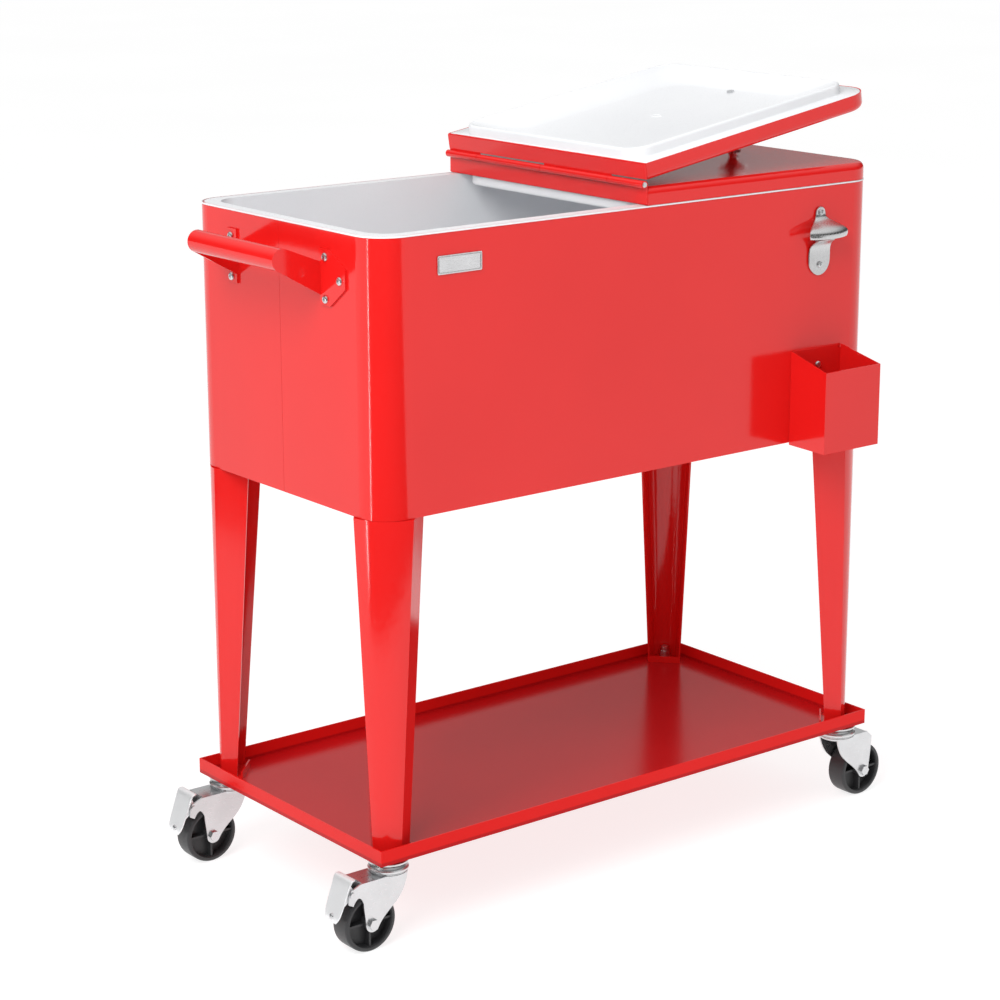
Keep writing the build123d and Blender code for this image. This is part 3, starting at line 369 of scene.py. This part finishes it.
def make_lid_liner(prefix, is_open):
    """The moulded white liner of a lid: a flange, a thin plug rim and a soft dished recess."""
    rings = []
    for inset, height in FLANGE_PROFILE:
        edge = FLANGE_INSET + inset
        rings.append(rounded_ring(LID_START + edge, LID_END - edge, LID_HALF - edge,
                                  2.5, LID_CORNER - edge, height))
    rings += [plug_ring(inset, height) for inset, height in PLUG_PROFILE]
    rings += [recess_ring(step / SLOPE_STEPS) for step in range(1, SLOPE_STEPS + 1)]
    points, faces = joined(skin(rings), mould_mark())
    points = [(x * MM, y * MM, z * MM) for x, y, z in points]
    made = add_piece(f"{prefix}_soft_liner", points, faces, liner_white, f"{prefix}_lid",
                     lid_matrix(is_open), 60.0)
    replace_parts(made, f"{prefix}_lid_liner")


make_lid_liner("left", True)
make_lid_liner("right", False)


# Sheets are built from rows: half width, how far the middle and the edge of the row stand out,
# and how high the middle and the edge lie.
ACROSS = 16
OPENER_X = 279.0
HOOD_ROWS = (
    (3.2, 1.3, 1.3, 780.4, 779.9), (5.8, 1.3, 1.3, 779.2, 777.9),
    (7.4, 1.3, 1.3, 776.6, 775.6), (8.0, 1.3, 1.3, 773.0, 772.6),
    (8.1, 1.5, 1.4, 769.4, 769.2), (9.8, 3.2, 2.4, 766.4, 766.4),
    (14.5, 7.0, 5.0, 763.4, 763.2), (21.5, 12.6, 9.0, 760.6, 759.6),
    (27.8, 18.6, 13.0, 757.4, 756.2), (31.0, 23.0, 15.4, 754.6, 753.6),
    (32.0, 25.3, 16.4, 752.0, 751.2), (32.0, 25.9, 16.6, 749.0, 748.6),
    (31.2, 25.4, 16.2, 745.4, 745.4), (30.6, 24.2, 15.6, 744.4, 744.6))
PLATE_ROWS = (
    (5.0, 1.3, 1.3, 697.3, 698.2), (10.0, 1.3, 1.3, 697.8, 700.6),
    (14.4, 1.3, 1.3, 700.4, 704.6), (17.2, 1.3, 1.3, 705.4, 710.0),
    (18.0, 1.3, 1.3, 713.0, 716.0), (18.0, 1.3, 1.3, 723.0, 723.0),
    (17.8, 1.6, 1.5, 729.5, 729.0), (17.0, 3.2, 3.0, 733.4, 732.8),
    (15.8, 6.6, 6.2, 737.2, 736.6), (14.6, 11.0, 10.4, 740.2, 739.8),
    (13.8, 14.6, 13.8, 741.8, 741.6))
NECK_ROWS = ((7.6, 1.2, 1.2, 773.0, 773.0), (7.6, 1.2, 1.2, 752.0, 752.0),
             (7.6, 1.2, 1.2, 724.0, 724.0))


def sheet_faces(row_count):
    faces = []
    for row in range(row_count - 1):
        for i in range(ACROSS):
            first = row * (ACROSS + 1) + i
            faces.append((first, first + 1, first + ACROSS + 2, first + ACROSS + 1))
    return faces


def opener_sheet(rows):
    points = []
    for half, middle_out, edge_out, middle_z, edge_z in rows:
        for i in range(ACROSS + 1):
            u = 2.0 * i / ACROSS - 1.0
            out = middle_out + (edge_out - middle_out) * u * u
            z = middle_z + (edge_z - middle_z) * u * u
            points.append(spot(OPENER_X + half * u, FRONT_WALL - out, z))
    return points, sheet_faces(len(rows))


opener_points, opener_faces = joined(*[opener_sheet(r) for r in (HOOD_ROWS, PLATE_ROWS, NECK_ROWS)])
opener = add_piece("pressed_opener", opener_points, opener_faces, stainless, "cart",
                   None, 60.0)
thicken(opener, 1.9)
soften(opener, 2)
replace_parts(opener, "bottle_opener")


# Screw heads: a domed pan head with a cross recess.
HEAD_PROFILE = ((4.6, 0.0), (4.6, 0.8), (4.3, 1.6), (3.6, 2.2), (2.9, 2.5))
HEAD_SIDES = 32
CROSS_REACH, CROSS_HALF, CROSS_DEPTH, CROSS_TAPER = 2.3, 0.55, 1.3, 0.75


def screw_heads(name, places, outward, turns, node, size=1.0):
    """Heads at places, standing along outward, each turned so that no two crosses line up."""
    work = bmesh.new()
    out = Vector(outward)
    first = out.orthogonal().normalized()
    second = out.cross(first)
    for place, turned in zip(places, turns):
        def at(x, y, z):
            c, s = math.cos(turned), math.sin(turned)
            flat = first * (x * c - y * s) + second * (x * s + y * c)
            return place + (flat + out * z) * MM * size

        rings = []
        for radius, height in HEAD_PROFILE:
            ring = []
            for i in range(HEAD_SIDES):
                angle = 2 * math.pi * i / HEAD_SIDES
                ring.append(work.verts.new(at(radius * math.cos(angle),
                                              radius * math.sin(angle), height)))
            rings.append(ring)
        for low, high in zip(rings, rings[1:]):
            for i in range(HEAD_SIDES):
                j = (i + 1) % HEAD_SIDES
                work.faces.new((low[i], low[j], high[j], high[i]))
        r, h, top = CROSS_REACH, CROSS_HALF, HEAD_PROFILE[-1][1]
        outline = ((r, -h), (r, h), (h, h), (h, r), (-h, r), (-h, h), (-r, h), (-r, -h),
                   (-h, -h), (-h, -r), (h, -r), (h, -h))
        brim = [work.verts.new(at(x, y, top)) for x, y in outline]
        deep = [work.verts.new(at(x * CROSS_TAPER, y * CROSS_TAPER, top - CROSS_DEPTH))
                for x, y in outline]
        edges = []
        for i in range(len(outline)):
            j = (i + 1) % len(outline)
            work.faces.new((brim[i], brim[j], deep[j], deep[i]))
            edges.append(work.edges.get((brim[i], brim[j])))
        work.faces.new(deep)
        for i in range(HEAD_SIDES):
            edges.append(work.edges.get((rings[-1][i], rings[-1][(i + 1) % HEAD_SIDES])))
        bmesh.ops.triangle_fill(work, edges=edges, use_beauty=True)
    bmesh.ops.recalc_face_normals(work, faces=work.faces)
    mesh = bpy.data.meshes.new(name)
    work.to_mesh(mesh)
    work.free()
    mesh.materials.append(zinc)
    shade(mesh, 40.0)
    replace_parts(link(name, mesh, "cart"), node)


END_WALL = -375.0
handle_places = [spot(END_WALL - WALL_SCREW_SEAT, side * y, z) for side in (-1, 1)
                 for y, z in ((94.0, 775.9), (94.0, 729.6), (121.0, 753.0))]
screw_heads("handle_screw_heads", handle_places, (-1.0, 0.0, 0.0),
            (0.3, 0.9, 1.4, 0.2, 1.1, 0.6), "handle_screws")
opener_places = [spot(OPENER_X, FRONT_WALL - WALL_SCREW_SEAT + 0.3, z) for z in (773.4, 710.3)]
screw_heads("opener_screw_heads", opener_places, (0.0, -1.0, 0.0), (0.4, 1.0),
            "opener_screws", 0.85)
bin_places = [spot(282.0, FRONT_WALL - 1.2, z) for z in (586.6, 530.0)]
screw_heads("bin_screw_heads", bin_places, (0.0, -1.0, 0.0), (0.7, 0.1), "bin_screws")


# The tub's white rim shows as a thin bead between the casing and the closed lid.
TUB_HALF_LENGTH, TUB_HALF_WIDTH, TUB_CORNER = 375.0, 185.0, 38.0
RIM_PROFILE = ((0.4, 804.3), (-0.6, 804.5), (-0.8, 805.2), (-0.6, 805.9), (0.4, 806.15))
rim_rings = []
for inset, height in RIM_PROFILE:
    corner = TUB_CORNER - inset
    rim_rings.append(rounded_ring(-TUB_HALF_LENGTH + inset, TUB_HALF_LENGTH - inset,
                                  TUB_HALF_WIDTH - inset, corner, corner, height))
rim_points, rim_faces = skin(rim_rings, False)
add_piece("rim_bead", [spot(x, y, z) for x, y, z in rim_points], rim_faces, liner_white, "cart",
          None, 60.0)

# A raised border around the blank name plate.
plate_low, plate_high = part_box("name_plate")
plate_middle = (plate_low + plate_high) / 2
BORDER_PROFILE = ((0.9, -0.1), (1.0, 0.3), (1.3, 0.4), (1.9, 0.4), (2.2, 0.3), (2.3, -0.1))
BORDER_CORNER = 1.5
border_rings = []
for inset, proud in BORDER_PROFILE:
    half_x = (plate_high.x - plate_low.x) / 2 / MM - inset
    half_z = (plate_high.z - plate_low.z) / 2 / MM - inset
    outline = rounded_ring(-half_x, half_x, half_z, BORDER_CORNER, BORDER_CORNER, 0.0)
    border_rings.append([Vector((plate_middle.x + a * MM, plate_low.y - proud * MM,
                                 plate_middle.z + b * MM)) for a, b, _ in outline])
border_points, border_faces = skin(border_rings, False)
add_piece("plate_border", border_points, border_faces, stainless, "cart",
          None, 60.0)


# The brake pedals, as pressed sheets with a folded lip, a rounded foot, a rivet and two ears.
# Each row is its distance behind the axle, its height and its half width.
CASTER_TRAIL = 34.0
PEDAL_ROWS = (
    (21.6, 93.0, 16.4), (24.2, 92.9, 17.0), (27.0, 91.9, 17.1), (28.6, 89.8, 17.0),
    (32.2, 80.4, 16.6), (36.6, 69.0, 16.0), (40.4, 59.0, 15.7), (42.8, 52.8, 15.0),
    (44.2, 48.8, 13.2), (44.6, 46.2, 11.0), (43.9, 44.0, 8.4), (42.4, 42.6, 6.0))
EAR_OUTLINE = ((24.2, 73.4), (22.4, 76.6), (23.6, 80.2), (28.6, 88.8), (40.2, 61.0))
EAR_PLACE = 13.6
RIVET_HEIGHT, RIVET_BEHIND = 50.6, 43.9
RIVET_PROFILE = ((3.4, 0.6), (3.2, 1.4), (2.4, 2.0), (1.2, 2.3))
PEDAL_LEAN = math.atan2(16.5, 43.0)


def make_pedal(corner):
    """The pedal of one caster, which sticks out to the side where its CAD node does."""
    swivel = joint(f"swivel_{corner}")["pos_m"]
    low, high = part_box(f"brake_pedal_{corner}")
    way = math.copysign(1.0, (low.x + high.x) / 2 - swivel[0])

    def at(behind, across, z):
        return Vector((swivel[0] + way * (CASTER_TRAIL + behind) * MM,
                       swivel[1] + across * MM, z * MM))

    body = f"pedal_{corner}"
    points = [at(behind, half * (2.0 * i / ACROSS - 1.0), z)
              for behind, z, half in PEDAL_ROWS for i in range(ACROSS + 1)]
    plate = add_piece(f"pressed_pedal_{corner}", points, sheet_faces(len(PEDAL_ROWS)),
                      pedal_zinc, body)
    thicken(plate, 1.7)
    soften(plate, 1)
    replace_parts(plate, f"brake_pedal_{corner}")

    points, faces = [], []
    for side in (-1.0, 1.0):
        first = len(points)
        points += [at(behind, side * EAR_PLACE, z) for behind, z in EAR_OUTLINE]
        faces.append(tuple(range(first, len(points))))
    ears = add_piece(f"pedal_ears_{corner}", points, faces, pedal_zinc, body)
    thicken(ears, 1.4)
    edges = ears.modifiers.new("edges", "BEVEL")
    edges.width = 0.3 * MM
    edges.segments = 2

    rings = []
    lean_cos, lean_sin = math.cos(PEDAL_LEAN), math.sin(PEDAL_LEAN)
    for radius, proud in RIVET_PROFILE:
        ring = []
        for i in range(HEAD_SIDES):
            angle = 2.0 * math.pi * i / HEAD_SIDES
            up = radius * math.sin(angle)
            ring.append(at(RIVET_BEHIND + proud * lean_cos - up * lean_sin,
                           radius * math.cos(angle),
                           RIVET_HEIGHT + proud * lean_sin + up * lean_cos))
        rings.append(ring)
    points, faces = skin(rings)
    add_piece(f"pedal_rivet_{corner}", points, faces, zinc, body, None, 50.0)


make_pedal("front_left")
make_pedal("back_left")


# ---------------------------------------------------------------- studio

FLOOR_HALF = 40.0
floor_mesh = bpy.data.meshes.new("studio_floor")
floor_mesh.from_pydata([(-FLOOR_HALF, -FLOOR_HALF, 0.0), (FLOOR_HALF, -FLOOR_HALF, 0.0),
                        (FLOOR_HALF, FLOOR_HALF, 0.0), (-FLOOR_HALF, FLOOR_HALF, 0.0)],
                       [], [(0, 1, 2, 3)])
floor = bpy.data.objects.new("studio_floor", floor_mesh)
scene.collection.objects.link(floor)
floor_paint, floor_tree, floor_shader = new_material("studio_paper")
floor_tone = noise(floor_tree, place_map(floor_tree), 0.8)
floor_tree.links.new(blend_colour(floor_tree, floor_tone, (0.33, 0.33, 0.33), (0.35, 0.35, 0.35)),
                     floor_shader.inputs["Base Color"])
floor_shader.inputs["Roughness"].default_value = 0.9
floor_shader.inputs["Emission Color"].default_value = (1.0, 1.0, 1.0, 1.0)
floor_shader.inputs["Emission Strength"].default_value = 0.79
floor_shader.inputs["Specular IOR Level"].default_value = 0.0
floor_mesh.materials.append(floor_paint)

world = bpy.data.worlds.new("studio")
scene.world = world
world.use_nodes = True
sky = world.node_tree
around = sky.nodes.new("ShaderNodeTexCoord")
split = sky.nodes.new("ShaderNodeSeparateXYZ")
sky.links.new(around.outputs["Generated"], split.inputs["Vector"])
dome = sky.nodes.new("ShaderNodeMapRange")
dome.interpolation_type = "SMOOTHSTEP"
dome.inputs["From Min"].default_value = 0.2
dome.inputs["From Max"].default_value = 0.85
dome.inputs["To Min"].default_value = 0.04
dome.inputs["To Max"].default_value = 1.0
sky.links.new(split.outputs["Z"], dome.inputs["Value"])
path = sky.nodes.new("ShaderNodeLightPath")
pick = sky.nodes.new("ShaderNodeMix")
pick.inputs["A"].default_value = 0.6
sky.links.new(path.outputs["Is Glossy Ray"], pick.inputs["Factor"])
sky.links.new(dome.outputs["Result"], pick.inputs["B"])
sky.nodes["Background"].inputs["Color"].default_value = (1.0, 1.0, 1.0, 1.0)
seen = sky.nodes.new("ShaderNodeMix")
seen.inputs["B"].default_value = 1.0
sky.links.new(path.outputs["Is Camera Ray"], seen.inputs["Factor"])
sky.links.new(pick.outputs["Result"], seen.inputs["A"])
sky.links.new(seen.outputs["Result"], sky.nodes["Background"].inputs["Strength"])


def soft_box(name, place, aim, width, height, radiance, glossy):
    """A rectangular light that either lights surfaces softly or only shows in their gloss."""
    data = bpy.data.lights.new(name, "AREA")
    data.shape = "RECTANGLE"
    data.size = width
    data.size_y = height
    data.energy = radiance * math.pi * width * height
    lamp = bpy.data.objects.new(name, data)
    lamp.location = place
    lamp.rotation_mode = "QUATERNION"
    lamp.rotation_quaternion = (Vector(aim) - Vector(place)).to_track_quat("-Z", "Y")
    lamp.visible_camera = False
    lamp.visible_glossy = glossy
    lamp.visible_diffuse = not glossy
    scene.collection.objects.link(lamp)


soft_box("key_left", (-2.2, -1.12, 2.58), (0.0, 0.0, 0.6), 1.6, 1.6, 8.5, False)
soft_box("top_fill", (-0.3, 0.0, 3.0), (-0.3, 0.0, 0.6), 1.8, 1.8, 1.0, False)
soft_box("edge_strip", (-1.75, -0.10, 0.33), (-0.36, -0.10, 0.33), 0.035, 0.66, 26.0, True)
soft_box("back_card", (2.4, 3.0, 2.0), (0.3, 0.1, 0.9), 4.0, 1.6, 0.4, True)

FLAG_NEAR, FLAG_FAR = 1.5, 7.0
FLAG_START, FLAG_END = math.radians(182.0), math.radians(287.0)
FLAG_STEPS = 24
FLAG_LIFT = 0.002
flag_points, flag_faces = [], []
for step in range(FLAG_STEPS + 1):
    angle = FLAG_START + (FLAG_END - FLAG_START) * step / FLAG_STEPS
    for reach in (FLAG_NEAR, FLAG_FAR):
        flag_points.append((reach * math.cos(angle), reach * math.sin(angle), FLAG_LIFT))
    if step:
        flag_faces.append((2 * step - 2, 2 * step - 1, 2 * step + 1, 2 * step))
flag_mesh = bpy.data.meshes.new("dark_flag")
flag_mesh.from_pydata(flag_points, [], flag_faces)
flag = bpy.data.objects.new("dark_flag", flag_mesh)
scene.collection.objects.link(flag)
flag_cloth, flag_tree, flag_shader = new_material("flag_cloth")
flag_tone = noise(flag_tree, place_map(flag_tree), 60.0)
flag_tree.links.new(blend_colour(flag_tree, flag_tone, (0.012, 0.012, 0.012), (0.02, 0.02, 0.02)),
                    flag_shader.inputs["Base Color"])
flag_shader.inputs["Roughness"].default_value = 1.0
flag_shader.inputs["Specular IOR Level"].default_value = 0.0
flag_mesh.materials.append(flag_cloth)
flag.visible_camera = False
flag.visible_diffuse = False
flag.visible_shadow = False
flag.visible_transmission = False

VIEW_AZIMUTH = math.radians(38.167)
VIEW_DROP = math.radians(14.823)
VIEW_ROLL = math.radians(-0.104)
VIEW_PLACE = (-1.93435, -2.3588, 1.2381)
look = Vector((math.sin(VIEW_AZIMUTH) * math.cos(VIEW_DROP),
               math.cos(VIEW_AZIMUTH) * math.cos(VIEW_DROP), -math.sin(VIEW_DROP)))
across = Vector((math.cos(VIEW_AZIMUTH), -math.sin(VIEW_AZIMUTH), 0.0))
above = across.cross(look)
camera_data = bpy.data.cameras.new("photo_view")
camera_data.lens = 93.52
camera_data.sensor_width = 36.0
camera = bpy.data.objects.new("photo_view", camera_data)
turn = Matrix((across, above, -look)).transposed()
camera.matrix_world = (Matrix.Translation(VIEW_PLACE)
                       @ turn.to_4x4() @ Matrix.Rotation(VIEW_ROLL, 4, "Z"))
scene.collection.objects.link(camera)
scene.camera = camera
scene.view_settings.view_transform = "Standard"
scene.cycles.diffuse_bounces = 8
